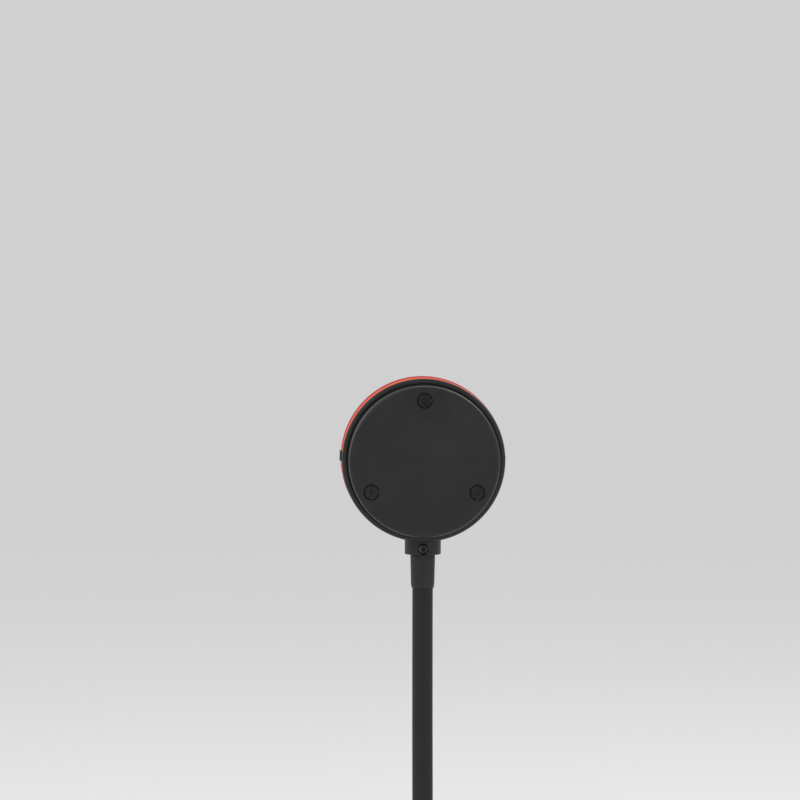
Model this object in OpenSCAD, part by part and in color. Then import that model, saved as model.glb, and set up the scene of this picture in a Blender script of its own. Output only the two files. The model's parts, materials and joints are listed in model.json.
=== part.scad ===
// Sunset projection lamp: a lens head on a flexible neck over a weighted round base.
// Millimetres, +Z up. The origin is the centre of the face that the lamp rests on, and the lens looks along -Y.

/* [Head barrel] */
// Diameter of the barrel's rear rim, the widest part of the head
head_d = 50; // [49:0.5:56]
// Diameter of the barrel's front edge, which the lens seats on
barrel_front_d = 48.8; // [48:0.1:50]
// Length of the barrel from its rear rim to the lens
barrel_l = 12; // [11.5:0.5:18]
// Wall of the barrel where the filter sits
barrel_wall = 2.2; // [1.8:0.1:2.6]
// Width of the inner ledge that carries the baffle
ledge_w = 1.4; // [1:0.1:2]
// Rounding of the barrel's rear rim
rim_round = 1; // [0.5:0.1:1.2]
// Number of shallow grooves turned round the barrel
barrel_grooves = 3; // [1:1:4]
// Width of each turned groove on the barrel
barrel_groove_w = 0.7; // [0.4:0.1:1]

/* [Heat sink] */
// Diameter of the heat sink's fins
sink_d = 46; // [43:0.5:47]
// How far the heat sink stands out behind the barrel
sink_l = 9.5; // [8:0.5:14]
// Number of fins behind the barrel
fin_count = 4; // [2:1:5]
// Thickness of each fin
fin_t = 1.2; // [0.8:0.1:1.5]
// Depth of the grooves between the fins
fin_depth = 2.4; // [1:0.1:2.5]
// Thickness of the heat sink's web, which seats inside the barrel
web_t = 3; // [2:0.1:3.2]
// Circle radius of the heat sink's screws
sink_screw_circle = 18.6; // [17.5:0.1:18.8]

/* [Optics] */
// Diameter of the lens
lens_d = 50.4; // [49.8:0.1:52]
// Thickness of the lens at its rim
lens_rim_t = 6; // [5:0.5:12]
// Height of the lens's dome above its rim
lens_dome_h = 7; // [4:0.5:12]
// Width of the flat land round the dome, which the clips hold
lens_land = 1.7; // [1.6:0.1:3]
// Thickness of the colour filter
filter_t = 1; // [0.6:0.1:1.5]
// Thickness of the gasket behind the filter
gasket_t = 0.7; // [0.4:0.1:1.2]
// Wall of the light baffle
baffle_wall = 0.8; // [0.5:0.1:1.2]
// Diameter of the baffle's opening at the emitter
baffle_mouth_d = 9.2; // [9:0.1:11]
// Diameter of the emitter's circuit board
led_board_d = 28; // [26:0.5:30]
// Thickness of the emitter's circuit board
led_board_t = 1.6; // [1:0.1:1.8]
// Thickness of the thermal pad under that board
thermal_pad_t = 0.3; // [0.2:0.05:0.6]
// Side of the emitter's square package
emitter_side = 6; // [4:0.5:6]
// Distance of the emitter board's two screws from the head's axis
led_screw_x = 11; // [10.5:0.1:11.5]

/* [Lens clips] */
// Width of each lens clip
clip_w = 3; // [2:0.1:5]
// Thickness of the clips' spring steel
clip_t = 0.3; // [0.2:0.05:0.4]
// How far a clip hooks over the lens's land
clip_lip = 1.3; // [0.8:0.1:1.5]
// Turn of the clips round the head's axis, from straight out to the sides
clip_turn = 1.8; // [0:0.1:20]

/* [Neck] */
// Outer diameter of the neck
neck_d = 6.3; // [5.8:0.1:6.6]
// Wall of the neck's soft sleeve
sleeve_wall = 0.7; // [0.5:0.05:0.8]
// Wall of the steel hose inside the sleeve
hose_wall = 0.8; // [0.5:0.05:0.9]
// Distance between two bending points of the neck
neck_pitch = 17; // [14:0.5:22]
// Lean of the neck's middle, as the lamp stands
neck_lean = 15; // [0:1:20]
// Diameter of each of the two leads inside the neck
lead_d = 0.9; // [0.6:0.05:1.1]

/* [Neck fittings] */
// Diameter of the collar under the head
collar_d = 11.1; // [10:0.1:11.5]
// How far the collar stands below the head's rim
collar_drop = 4.1; // [3.4:0.1:8]
// Diameter of the boots where they meet the collar and the foot of the neck
boot_d = 7.6; // [7.4:0.1:8.5]
// Diameter of the boots before their end chamfer
boot_tip_d = 7.2; // [6.9:0.1:7.4]
// Length of the boot under the collar
upper_boot_l = 10.4; // [8:0.2:16]
// Length of the boot on the base
lower_boot_l = 8; // [7:0.2:16]
// Length of the chamfer at each boot's end
boot_chamfer = 1.2; // [0.6:0.1:2]
// Diameter of the ferrule's flange on the base
flange_d = 13; // [11:0.5:18]
// Height of that flange
flange_h = 3; // [2:0.1:5]
// Thread diameter of the ferrule under the flange
shank_d = 8; // [7.6:0.1:9]
// Thickness of the nut that holds the neck
nut_h = 4; // [3:0.1:4.5]
// Width of that nut across its flats
nut_w = 13; // [12:0.1:15]

/* [Base] */
// Diameter of the base
base_d = 88; // [80:1:110]
// Height of the base over the surface it rests on
base_h = 18; // [17:0.5:26]
// Wall of the base cover
base_wall = 2; // [1.5:0.1:2.4]
// Thickness of the base cover's top
top_t = 2.2; // [1.6:0.1:2.6]
// Rounding of the base cover's top edge
base_edge_r = 4; // [3:0.5:6]
// Thickness of the rubber foot pad
foot_t = 2; // [1.5:0.1:3]
// Gap between the surface and the base cover's lower edge
skirt_gap = 1.2; // [0.8:0.1:1.4]
// Thickness of the steel base plate
plate_t = 1.5; // [1:0.1:2]
// Radius of the round hole in the middle of the ballast
ballast_hole_r = 12; // [10:0.5:14]
// Distance of the base's four screws from its edge
base_screw_inset = 8; // [7.5:0.1:9]

/* [Control board] */
// Width of the control board
board_w = 24; // [22:0.5:26]
// Length of the control board
board_l = 20; // [19:0.5:21]
// Thickness of the control board
board_t = 1.6; // [1:0.1:1.8]
// Height of the board's underside over the base plate
board_lift = 2.5; // [2:0.1:3]
// Distance of the board from the base's rear edge
board_inset = 4.5; // [4.5:0.1:5]
// Width of the power socket
socket_w = 8.9; // [8.5:0.1:9.5]
// Height of the power socket
socket_h = 3.2; // [3:0.1:3.6]
// Depth of the power socket
socket_l = 7.3; // [6.5:0.1:8]

/* [Push button] */
// Diameter of the push button
button_d = 9.5; // [8:0.1:11]
// How far the button stands over the base
button_proud = 1; // [0.8:0.1:1.6]
// How far the button travels
button_travel = 0.6; // [0.3:0.05:0.7]
// Distance of the button's middle from the control board's inner edge
button_from_board = 9.5; // [9:0.1:9.8]

/* [Fits] */
// Gap between pieces that fit into each other
fit = 0.1; // [0.05:0.01:0.15]
// Gap between the ball end of a neck link and the cup of the next
ball_gap = 0.2; // [0.15:0.01:0.3]

/* [Hidden] */
$fn = 96;
eps = 0.01;
past = 1;
tip_room = 0.5;
hex_share = 0.85;

black = "#17171a";
soft_black = "#1d1d1f";
steel = "#b9bcc0";
board_green = "#0f5a3c";

// Head, measured forward from the rear rim's plane and outward from the head's axis
head_r = head_d / 2;
barrel_front_r = barrel_front_d / 2;
filter_seat_r = barrel_front_r - barrel_wall;
cavity_r = filter_seat_r - ledge_w;
rear_wall = 1.6;
sink_seat_r = head_r - rear_wall;
web_front = web_t - rim_round;
filter_back = barrel_l - filter_t;
gasket_back = filter_back - gasket_t;
flange_t = 0.8;
ledge_at = gasket_back - flange_t;
sink_back = -rim_round - sink_l;
groove_depth = 0.4;
lug_r = 2.6;
lug_l = 4.5;
sink_screw_r = 1.25;
sink_screw_head_r = 2.2;
sink_screw_head_t = 1.4;
sink_screw_count = 3;
sink_screw_sunk = 0.2;
sink_edge = 1.2;
rear_fin_extra = 1;

// Emitter stack
led_board_back = web_front + thermal_pad_t;
led_board_front = led_board_back + led_board_t;
emitter_t = 0.8;
emitter_dome_r = 2.3;
led_screw_r = 1;
led_screw_head_r = 1.8;
led_screw_head_t = 1.1;
led_screw_l = 4.5;
thermal_pad_inset = 0.5;
dome_sunk = 0.4;
baffle_foot_t = 1;
baffle_rim_inset = 1.5;

// Lens and its clips
lens_r = lens_d / 2;
lens_front = barrel_l + lens_rim_t;
dome_base_r = lens_r - lens_land;
dome_sphere_r = (dome_base_r * dome_base_r + lens_dome_h * lens_dome_h) / (2 * lens_dome_h);
lens_bevel = 0.3;
clip_gap = 0.03;
clip_seat_depth = 0.5;
clip_seat_x = barrel_front_r - clip_seat_depth;
clip_foot_at = 4;
clip_jog_l = 2;
clip_jog_to = barrel_l - clip_jog_l / 2;
clip_jog_from = clip_jog_to - clip_jog_l;
clip_screw_at = 6.2;
clip_screw_r = 0.8;
clip_screw_head_r = 1.25;
clip_screw_head_t = 0.5;
clip_screw_end = 1;

// Collar under the head
collar_r = collar_d / 2;
collar_back_gap = 0.3;
collar_at = collar_back_gap + collar_r;
collar_edge = 0.35;
collar_sunk = 0.3;
collar_front_r = barrel_r(collar_at + collar_r);
collar_seat = sqrt(collar_front_r * collar_front_r - collar_r * collar_r) - collar_sunk;
grub_r = 1.5;
grub_l = 2;
grub_up = 1.9;
ferrule_in_head = 0.8;

// Neck: hinge 1 is the lowest, and link i runs from hinge i to the next
neck_r = neck_d / 2;
hose_r = neck_r - sleeve_wall - fit / 2;
bore_r = hose_r - hose_wall;
hinge_kinds = ["bend", "sway", "bend", "sway", "bend", "bend", "sway", "bend", "sway", "bend"];
hinges = len(hinge_kinds);
cup_r = neck_r + ball_gap;
boot_bore_r = neck_r + fit / 2;
boot_lip = 0.15;
sleeve_in_boot = 5;
hose_in_ferrule = 4;
ferrule_tube_l = 3;
flange_edge = 0.8;

// Heights
flange_top = base_h + flange_h;
neck_from = flange_top + lower_boot_l;
neck_top = hinge_at(hinges) + [0, 0, neck_pitch / 2];
neck_top_y = neck_top[1];
neck_to = neck_top[2];
collar_bottom = neck_to + upper_boot_l;
head_z = collar_bottom + collar_drop + head_r;
head_y = neck_top_y + collar_at;
collar_top = head_z - collar_seat;

// Base, from the resting face up
base_r = base_d / 2;
shell_r = base_r - base_wall;
plate_gap = 0.2;
plate_r = shell_r - plate_gap;
plate_top = foot_t + plate_t;
foot_inset = 1.5;
foot_r = plate_r - foot_inset;
top_under = base_h - top_t;
ballast_gap = 0.5;
ballast_r = shell_r - ballast_gap;
ballast_top_gap = 0.3;
ballast_top = top_under - ballast_top_gap;
inner_edge_r = max(base_edge_r - base_wall, base_wall / 4);
base_screw_circle = base_r - base_screw_inset;
ballast_edge = base_edge_r;
boss_r = 3;
boss_room = 0.4;
screw_r = 1.5;
screw_head_r = 2.8;
screw_head_t = 1.2;
screw_l = 8;
base_screw_count = 4;
washer_t = 1;
washer_rim = 0.8;
washer_r = nut_w / 2 + washer_rim;
nut_top = top_under - washer_t;
shank_end = 1;
shank_bottom = nut_top - nut_h - shank_end;
lead_bore_r = bore_r + fit;

// Control board and what stands on it
board_bottom = plate_top + board_lift;
board_top = board_bottom + board_t;
board_back = base_r - board_inset;
board_y = board_back - board_l;
board_screw_inset = 2.8;
board_screw_x = board_w / 2 - board_screw_inset;
board_screw_y = board_y + board_screw_inset;
board_screw_l = 4;
board_boss_r = 2.2;
board_screw_r = 0.9;
board_screw_head_r = 1.7;
board_screw_head_t = 1;
chip_h = 1.4;
coil_h = 2.4;
capacitor_h = 4.2;
resistor_h = 0.5;
resistor_count = 4;
pocket_room = 1.5;
socket_sunk = 0.2;
socket_front = sqrt(base_r * base_r - socket_w * socket_w / 4) - socket_sunk;
socket_wall = 0.3;
socket_floor_t = 1.2;
tongue_side_gap = 1.1;
tongue_w = socket_w - 2 * tongue_side_gap;
tongue_t = 0.7;
tongue_l = 4.6;
switch_side = 6;
switch_h = 3.5;
plunger_r = 1.7;
plunger_h = 0.9;
plunger_top = board_top + switch_h + plunger_h;
button_y = board_y + button_from_board;
button_r = button_d / 2;
button_top = base_h + button_proud;
button_edge = 0.6;
button_rim = 1;
button_rim_t = 1;
stem_r = 1.6;
stop_gap = 0.05;

// Leads: where each runs beside the neck's line, and its ends on the two circuit boards
lead_r = lead_d / 2;
lead_x = lead_r + fit;
pad_x = 2.5;
pad_in = 1.5;
lead_sides = 8;
lead_sag = 0.4;
lead_rise = 1;
lead_on_board = board_top + lead_r + fit;
lead_in_base = [
    [pad_x, board_y + pad_in, lead_on_board],
    [pad_x, board_y - pad_in, lead_on_board],
    [0.8 * pad_x, 0.72 * board_y, lead_on_board],
    [0.48 * pad_x, 0.41 * board_y, lead_on_board - lead_sag],
    [lead_x, 0.15 * board_y, lead_on_board - 1.5 * lead_sag],
    [lead_x, 0.05 * board_y, shank_bottom - 3.5 * lead_sag],
    [lead_x, 0, shank_bottom + lead_sag],
    [lead_x, 0, base_h]
];
lead_off_board = head_y - led_board_front - lead_r - fit;
lead_in_head = [
    [lead_x, neck_top_y, head_z - cavity_r - lead_rise],
    [lead_x, neck_top_y, head_z - cavity_r + lead_rise],
    [(lead_x + pad_x) / 2, (neck_top_y + lead_off_board) / 2, head_z - cavity_r + 3.4 * lead_rise],
    [pad_x, lead_off_board, head_z - led_board_d / 2 + 0.2 * lead_rise],
    [pad_x, lead_off_board, head_z - led_board_d / 2 + 2.6 * lead_rise]
];

function link_name(kind, i) = str(kind, i < 9 ? "_0" : "_", i + 1);

// Outer radius of the barrel at a distance forward of its rear rim
function barrel_r(f) = head_r + (barrel_front_r - head_r) * f / barrel_l;

// The neck's lean rises at each bending hinge of its lower half and falls again at those of its upper half
function bends_below(i) = i == 0 ? 0 : bends_below(i - 1) + (hinge_kinds[i - 1] == "bend" ? 1 : 0);
function link_lean(i) = neck_lean * sin(180 * bends_below(i) / bends_below(hinges));
function link_way(i) = [0, -sin(link_lean(i)), cos(link_lean(i))];
function hinge_at(i) = i == 1
    ? [0, 0, neck_from + neck_pitch / 2]
    : hinge_at(i - 1) + neck_pitch * link_way(i - 1);

// Head frame: +Z forward out of the lens, +Y up, with the origin on the head's axis at the rear rim
module on_head() translate([0, head_y, head_z]) rotate([90, 0, 0]) children();

// A hex socket sunk into a screw's head from the plane z = 0 upward
module hex_socket(screw, depth) translate([0, 0, -eps]) cylinder(r = hex_share * screw, h = depth + eps, $fn = 6);

module ring(r, bore, from, to) translate([0, 0, from]) difference() {
    cylinder(r = r, h = to - from);
    translate([0, 0, -eps]) cylinder(r = bore, h = to - from + 2 * eps);
}

module rod(r, from, to) translate([0, 0, from]) cylinder(r = r, h = to - from);

// A disc with its edge rounded at the top
module rounded_disc(r, h, edge) rotate_extrude() {
    if (h > edge) square([r, h - edge]);
    square([r - edge, h]);
    translate([r - edge, h - edge]) intersection() {
        circle(edge);
        square(edge);
    }
}

module round_copies(count, radius, first = 0) for (i = [0 : count - 1])
    rotate([0, 0, first + i * 360 / count]) translate([radius, 0, 0]) children();

module sink_screw_places() rotate([0, 0, 90]) round_copies(sink_screw_count, sink_screw_circle) children();

// --- Head ---

module housing() color(black) difference() {
    on_head() difference() {
        union() {
            difference() {
                union() {
                    cylinder(r1 = head_r, r2 = barrel_front_r, h = barrel_l);
                    mirror([0, 0, 1]) rounded_disc(head_r, rim_round, rim_round);
                }
                rod(sink_seat_r, -rim_round - eps, web_front);
                rod(cavity_r, 0, ledge_at + eps);
                rod(filter_seat_r, ledge_at, barrel_l + eps);
            }
            sink_screw_places() intersection() {
                rod(lug_r, web_front, web_front + lug_l);
                translate([-sink_screw_circle, 0, 0]) rod(cavity_r + ledge_w / 2, 0, barrel_l);
            }
        }
        sink_screw_places() rod(sink_screw_r + fit / 2, web_front - eps, web_front + lug_l + eps);
        for (i = [1 : barrel_grooves])
            barrel_groove(i * barrel_l / (barrel_grooves + 1) - barrel_groove_w / 2);
        clip_sides() clip_slot();
    }
    translate([0, neck_top_y, 0]) {
        rod(collar_r + fit, collar_top - 2 * collar_r, collar_top);
        rod(neck_r + fit, collar_top - eps, head_z - cavity_r + neck_r);
    }
}

module barrel_groove(at) difference() {
    rod(head_r + past, at, at + barrel_groove_w);
    rod(barrel_r(at) - groove_depth, at - eps, at + barrel_groove_w + eps);
}

module clip_sides() for (side = [0, 1]) rotate([0, 0, clip_turn + side * 180]) children();

module clip_slot() {
    translate([clip_seat_x, -clip_w / 2 - fit, clip_foot_at - fit])
        cube([head_r, clip_w + 2 * fit, barrel_l]);
    translate([0, 0, clip_screw_at]) rotate([0, 90, 0])
        rod(clip_screw_r + fit / 2, cavity_r + clip_screw_end - tip_room, head_r);
}

module heat_sink() color(black) on_head() difference() {
    union() {
        rod(sink_seat_r - fit, -rim_round, web_front);
        translate([0, 0, -rim_round]) mirror([0, 0, 1]) rounded_disc(sink_d / 2, sink_l, sink_edge);
    }
    for (i = [0 : fin_count - 1]) fin_groove(-rim_round - i * fin_step());
    sink_screw_places() {
        rod(sink_screw_r + fit / 2, sink_back - eps, web_front + eps);
        rod(sink_screw_head_r + fit, sink_back - eps, sink_screw_front());
    }
    led_screw_places() rod(led_screw_r + fit / 2, web_front - led_screw_l - tip_room, web_front + eps);
}

function fin_step() = (sink_l - rear_fin_extra) / fin_count;

function sink_screw_front() = sink_back + sink_screw_sunk + sink_screw_head_t;

module fin_groove(front) difference() {
    rod(sink_d / 2 + past, front - fin_step() + fin_t, front);
    rod(sink_d / 2 - fin_depth, front - fin_step(), front + eps);
}

module sink_screws() color(steel) on_head() sink_screw_places() {
    rod(sink_screw_r, sink_screw_front() - eps, web_front + lug_l - tip_room);
    difference() {
        rod(sink_screw_head_r, sink_back + sink_screw_sunk, sink_screw_front());
        translate([0, 0, sink_back + sink_screw_sunk]) hex_socket(sink_screw_r, sink_screw_head_t / 2);
    }
}

module led_screw_places() for (side = [-1, 1]) translate([side * led_screw_x, 0, 0]) children();

module thermal_pad() color("#8f9aa0") on_head() difference() {
    rod(led_board_d / 2 - thermal_pad_inset, web_front, led_board_back);
    led_screw_places() rod(led_screw_r + fit, web_front - eps, led_board_back + eps);
}

module led_board() color("white") on_head() difference() {
    rod(led_board_d / 2, led_board_back, led_board_front);
    led_screw_places() rod(led_screw_r + fit, led_board_back - eps, led_board_front + eps);
}

module led_screws() color(steel) on_head() led_screw_places() {
    rod(led_screw_r, web_front - led_screw_l, led_board_front);
    difference() {
        rod(led_screw_head_r, led_board_front, led_board_front + led_screw_head_t);
        translate([0, 0, led_board_front + led_screw_head_t]) mirror([0, 0, 1])
            hex_socket(led_screw_r, led_screw_head_t / 2);
    }
}

module led_emitter() color("#f2d64b") on_head() {
    translate([-emitter_side / 2, -emitter_side / 2, led_board_front])
        cube([emitter_side, emitter_side, emitter_t]);
    intersection() {
        translate([0, 0, led_board_front + emitter_t - dome_sunk]) sphere(emitter_dome_r);
        rod(emitter_dome_r + past, led_board_front, led_board_front + emitter_t + emitter_dome_r);
    }
}

module baffle() color(black) on_head() rotate_extrude() {
    mouth = baffle_mouth_d / 2;
    rim = cavity_r - baffle_rim_inset;
    polygon([
        [mouth, led_board_front],
        [mouth + baffle_wall, led_board_front],
        [mouth + baffle_wall, led_board_front + baffle_foot_t / 2],
        [rim, ledge_at],
        [filter_seat_r - fit, ledge_at],
        [filter_seat_r - fit, gasket_back],
        [rim - baffle_wall, gasket_back],
        [mouth, led_board_front + baffle_foot_t]
    ]);
}

module filter_gasket() color(soft_black) on_head() ring(filter_seat_r - fit, cavity_r, gasket_back, filter_back);

module color_filter() color("#ff7a3c", 0.8) on_head() rod(filter_seat_r - fit, filter_back, barrel_l);

module lens() color("#ffd9c4", 0.5) on_head() {
    translate([0, 0, barrel_l]) cylinder(r1 = lens_r - lens_bevel, r2 = lens_r, h = lens_bevel);
    rod(lens_r, barrel_l + lens_bevel, lens_front - lens_bevel);
    translate([0, 0, lens_front - lens_bevel]) cylinder(r1 = lens_r, r2 = lens_r - lens_bevel, h = lens_bevel);
    intersection() {
        translate([0, 0, lens_front + lens_dome_h - dome_sphere_r]) sphere(dome_sphere_r);
        rod(lens_r, lens_front - lens_bevel, lens_front + 2 * lens_dome_h);
    }
}

module lens_clips() color(black) on_head() clip_sides() difference() {
    outer_x = lens_r + clip_gap + clip_t;
    front = lens_front + clip_gap;
    translate([0, clip_w / 2, 0]) rotate([90, 0, 0]) linear_extrude(clip_w) polygon([
        [clip_seat_x, clip_foot_at],
        [clip_seat_x, clip_jog_from],
        [lens_r + clip_gap, clip_jog_to],
        [lens_r + clip_gap, front],
        [lens_r - clip_lip, front],
        [lens_r - clip_lip, front + clip_t],
        [outer_x, front + clip_t],
        [outer_x, clip_jog_to - clip_t / 2],
        [clip_seat_x + clip_t, clip_jog_from - clip_t / 2],
        [clip_seat_x + clip_t, clip_foot_at]
    ]);
    translate([0, 0, clip_screw_at]) rotate([0, 90, 0]) rod(clip_screw_r + fit / 2, cavity_r, head_r);
}

module clip_screws() color(steel) on_head() clip_sides() translate([0, 0, clip_screw_at]) rotate([0, 90, 0]) {
    rod(clip_screw_r, cavity_r + clip_screw_end, clip_seat_x + clip_t);
    rod(clip_screw_head_r, clip_seat_x + clip_t, clip_seat_x + clip_t + clip_screw_head_t);
}

// --- Fittings at the top of the neck ---

module collar() color(black) translate([0, neck_top_y, 0]) difference() {
    translate([0, 0, collar_top]) mirror([0, 0, 1]) rounded_disc(collar_r, collar_top - collar_bottom, collar_edge);
    rod(neck_r + fit / 2, collar_bottom - eps, collar_top + eps);
    collar_grub_place() rod(grub_r, -collar_r, 0);
}

// The grub screw comes in from the rear, and ends at the ferrule
module collar_grub_place() translate([0, collar_r, collar_bottom + grub_up]) rotate([-90, 0, 0]) children();

module collar_screw() color(steel) translate([0, neck_top_y, 0]) collar_grub_place() difference() {
    rod(grub_r - fit / 2, neck_r - collar_r + fit, neck_r - collar_r + fit + grub_l);
    translate([0, 0, neck_r - collar_r + fit + grub_l]) mirror([0, 0, 1]) hex_socket(grub_r / 2, grub_l / 2);
}

module upper_ferrule() color(steel) translate([0, neck_top_y, 0]) difference() {
    rod(neck_r, neck_to + sleeve_in_boot + fit, head_z - cavity_r + ferrule_in_head);
    rod(hose_r + fit / 2, neck_to, collar_bottom + hose_in_ferrule + fit);
    rod(lead_bore_r, neck_to, head_z);
}

// A soft boot from its seat, at 0, to its chamfered end
module boot(length) difference() {
    union() {
        cylinder(r1 = boot_d / 2, r2 = boot_tip_d / 2, h = length - boot_chamfer);
        translate([0, 0, length - boot_chamfer])
            cylinder(r1 = boot_tip_d / 2, r2 = boot_bore_r + boot_lip, h = boot_chamfer);
    }
    rod(boot_bore_r, -eps, length + eps);
}

module upper_boot() color(soft_black) translate([0, neck_top_y, collar_bottom]) mirror([0, 0, 1]) boot(upper_boot_l);

// --- Neck ---

// Puts a link's own frame, with hinge i at its origin and the next one above it, in its place
module on_link(i) translate(i == 0 ? hinge_at(1) - [0, 0, neck_pitch] : hinge_at(i))
    rotate([link_lean(i), 0, 0]) children();

// One link of a tube: a cup at its lower hinge and a ball end at its upper hinge. The first link starts at foot,
// and the last one ends at head, both measured in its own frame.
module link_tube(i, r, bore, foot, head) on_link(i) difference() {
    if (i == hinges) rod(r, 0, head);
    else union() {
        rod(r, i == 0 ? foot : 0, neck_pitch);
        intersection() {
            translate([0, 0, neck_pitch]) sphere(neck_r);
            rod(r, neck_pitch - eps, neck_pitch + neck_r);
        }
    }
    rod(bore, i == 0 ? foot - eps : -eps, neck_pitch + max(head, neck_r) + past);
    if (i > 0) sphere(cup_r);
}

// The first link's frame starts half a pitch under the neck, and the last one's hinge is half a pitch under its end
module neck_sleeve(i) color(soft_black) link_tube(i, neck_r, neck_r - sleeve_wall,
    foot = flange_top + ferrule_tube_l + fit - neck_from + neck_pitch / 2,
    head = neck_pitch / 2 + sleeve_in_boot);

module neck_hose(i) color(steel) link_tube(i, hose_r, bore_r,
    foot = base_h - hose_in_ferrule + fit - neck_from + neck_pitch / 2,
    head = neck_pitch / 2 + upper_boot_l + hose_in_ferrule);

// --- Leads ---

function along_neck(side) = [for (i = [1 : hinges]) each [
    hinge_at(i) + [side * lead_x, 0, 0],
    if (i < hinges) hinge_at(i) + neck_pitch / 2 * link_way(i) + [side * lead_x, 0, 0]
]];

function on_side(points, side) = [for (p = points) [side * p[0], p[1], p[2]]];

function lead_route(side) = concat(
    on_side(lead_in_base, side), along_neck(side), on_side(lead_in_head, side));

function unit(v) = v / norm(v);

function way_at(points, i) = unit(points[min(i + 1, len(points) - 1)] - points[max(i - 1, 0)]);

// A tube along points, with one ring of corners at each
module swept_tube(points, r, sides) {
    count = len(points);
    corners = [for (i = [0 : count - 1])
        let (t = way_at(points, i), u = unit([1, 0, 0] - t[0] * t), v = cross(t, u))
        for (k = [0 : sides - 1]) points[i] + r * (cos(360 * k / sides) * u + sin(360 * k / sides) * v)];
    walls = [for (i = [0 : count - 2]) for (k = [0 : sides - 1])
        let (a = i * sides, b = a + sides, n = (k + 1) % sides)
        each [[a + k, b + k, b + n], [a + k, b + n, a + n]]];
    start = [for (k = [1 : sides - 2]) [0, k, k + 1]];
    last = (count - 1) * sides;
    end = [for (k = [1 : sides - 2]) [last, last + k + 1, last + k]];
    polyhedron(points = corners, faces = concat(walls, start, end));
}

module lead_red() color("#c02020") swept_tube(lead_route(1), lead_r, lead_sides);

module lead_black() color("#202020") swept_tube(lead_route(-1), lead_r, lead_sides);

// --- Fittings at the foot of the neck ---

module lower_boot() color(soft_black) translate([0, 0, flange_top]) boot(lower_boot_l);

module lower_ferrule() color(black) difference() {
    union() {
        rod(shank_d / 2, shank_bottom, base_h);
        translate([0, 0, base_h]) rounded_disc(flange_d / 2, flange_h, flange_edge);
        rod(neck_r, flange_top - eps, flange_top + ferrule_tube_l);
    }
    rod(hose_r + fit / 2, base_h - hose_in_ferrule, flange_top + ferrule_tube_l + eps);
    rod(lead_bore_r, shank_bottom - eps, base_h);
}

module neck_washer() color(steel) ring(washer_r, shank_d / 2 + fit, nut_top, top_under);

module neck_nut() color(steel) difference() {
    translate([0, 0, nut_top - nut_h]) cylinder(d = nut_w / cos(30), h = nut_h, $fn = 6);
    rod(shank_d / 2 + fit / 2, nut_top - nut_h - eps, nut_top + eps);
}

// --- Base ---

module base_screw_places() round_copies(base_screw_count, base_screw_circle, first = 45) children();

module board_screw_places() for (side = [-1, 1]) translate([side * board_screw_x, board_screw_y, 0]) children();

module base_cover() color(black) difference() {
    union() {
        difference() {
            translate([0, 0, skirt_gap]) rounded_disc(base_r, base_h - skirt_gap, base_edge_r);
            translate([0, 0, skirt_gap - eps])
                rounded_disc(shell_r, top_under - skirt_gap + eps, inner_edge_r);
        }
        base_screw_places() rod(boss_r, plate_top, top_under + eps);
        board_screw_places() rod(board_boss_r, board_top, top_under + eps);
    }
    rod(shank_d / 2 + fit, top_under - eps, base_h + eps);
    base_screw_places() rod(screw_r + fit / 2, plate_top - eps, plate_top + screw_l + 2 * tip_room);
    board_screw_places() rod(board_screw_r + fit / 2, board_top - eps, board_top + board_screw_l + tip_room);
    translate([0, button_y, 0]) rod(button_r + fit, top_under - eps, base_h + eps);
    on_socket() linear_extrude(base_wall + socket_l) stadium(socket_w + 3 * fit, socket_h + 3 * fit);
}

module ballast() color("#3a3c3f") difference() {
    union() {
        rod(ballast_r, plate_top, ballast_top - ballast_edge);
        translate([0, 0, ballast_top - ballast_edge])
            cylinder(r1 = ballast_r, r2 = ballast_r - ballast_edge, h = ballast_edge);
    }
    rod(ballast_hole_r, plate_top - eps, base_h);
    base_screw_places() rod(boss_r + boss_room, plate_top - eps, base_h);
    translate([-board_w / 2 - pocket_room, board_y - pocket_room, plate_top - eps])
        cube([board_w + 2 * pocket_room, base_r, base_h]);
    translate([-pad_x - pocket_room, 0, plate_top - eps]) cube([2 * (pad_x + pocket_room), base_r, base_h]);
}

module base_plate() color(steel) difference() {
    rod(plate_r, foot_t, plate_top);
    base_screw_places() {
        rod(screw_r + fit, foot_t - eps, plate_top + eps);
        translate([0, 0, foot_t - eps]) cylinder(r1 = screw_head_r + fit, r2 = screw_r + fit, h = screw_head_t);
    }
}

module base_screws() color(steel) base_screw_places() difference() {
    union() {
        translate([0, 0, foot_t]) cylinder(r1 = screw_head_r, r2 = screw_r, h = screw_head_t);
        rod(screw_r, foot_t + screw_head_t - eps, plate_top + screw_l);
    }
    translate([0, 0, foot_t]) hex_socket(screw_r, screw_head_t / 2);
}

module foot_pad() color(soft_black) rod(foot_r, 0, foot_t);

// --- Control board ---

module control_board() color(board_green) difference() {
    translate([-board_w / 2, board_y, board_bottom]) cube([board_w, board_l, board_t]);
    board_screw_places() rod(board_screw_r + fit, board_bottom - eps, board_top + eps);
}

module board_screws() color(steel) board_screw_places() {
    rod(board_screw_r, board_bottom - eps, board_top + board_screw_l);
    difference() {
        rod(board_screw_head_r, board_bottom - board_screw_head_t, board_bottom);
        translate([0, 0, board_bottom - board_screw_head_t]) hex_socket(board_screw_r, board_screw_head_t / 2);
    }
}

// Driver chip, coil, capacitor and a row of small resistors, beside the switch
module board_parts() color("#2b2b2e") translate([0, board_y, board_top]) {
    translate([0.21 * board_w, 0.35 * board_l, 0]) cube([0.21 * board_w, board_l / 5, chip_h]);
    translate([-0.4 * board_w, 0.35 * board_l, 0]) cube([0.19 * board_w, 0.22 * board_l, coil_h]);
    translate([board_w / 3, 0.72 * board_l, 0]) rod(0.08 * board_w, 0, capacitor_h);
    for (i = [0 : resistor_count - 1]) translate([(0.07 * i - 0.44) * board_w, 0.68 * board_l, 0])
        cube([0.04 * board_w, 0.08 * board_l, resistor_h]);
}

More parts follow.
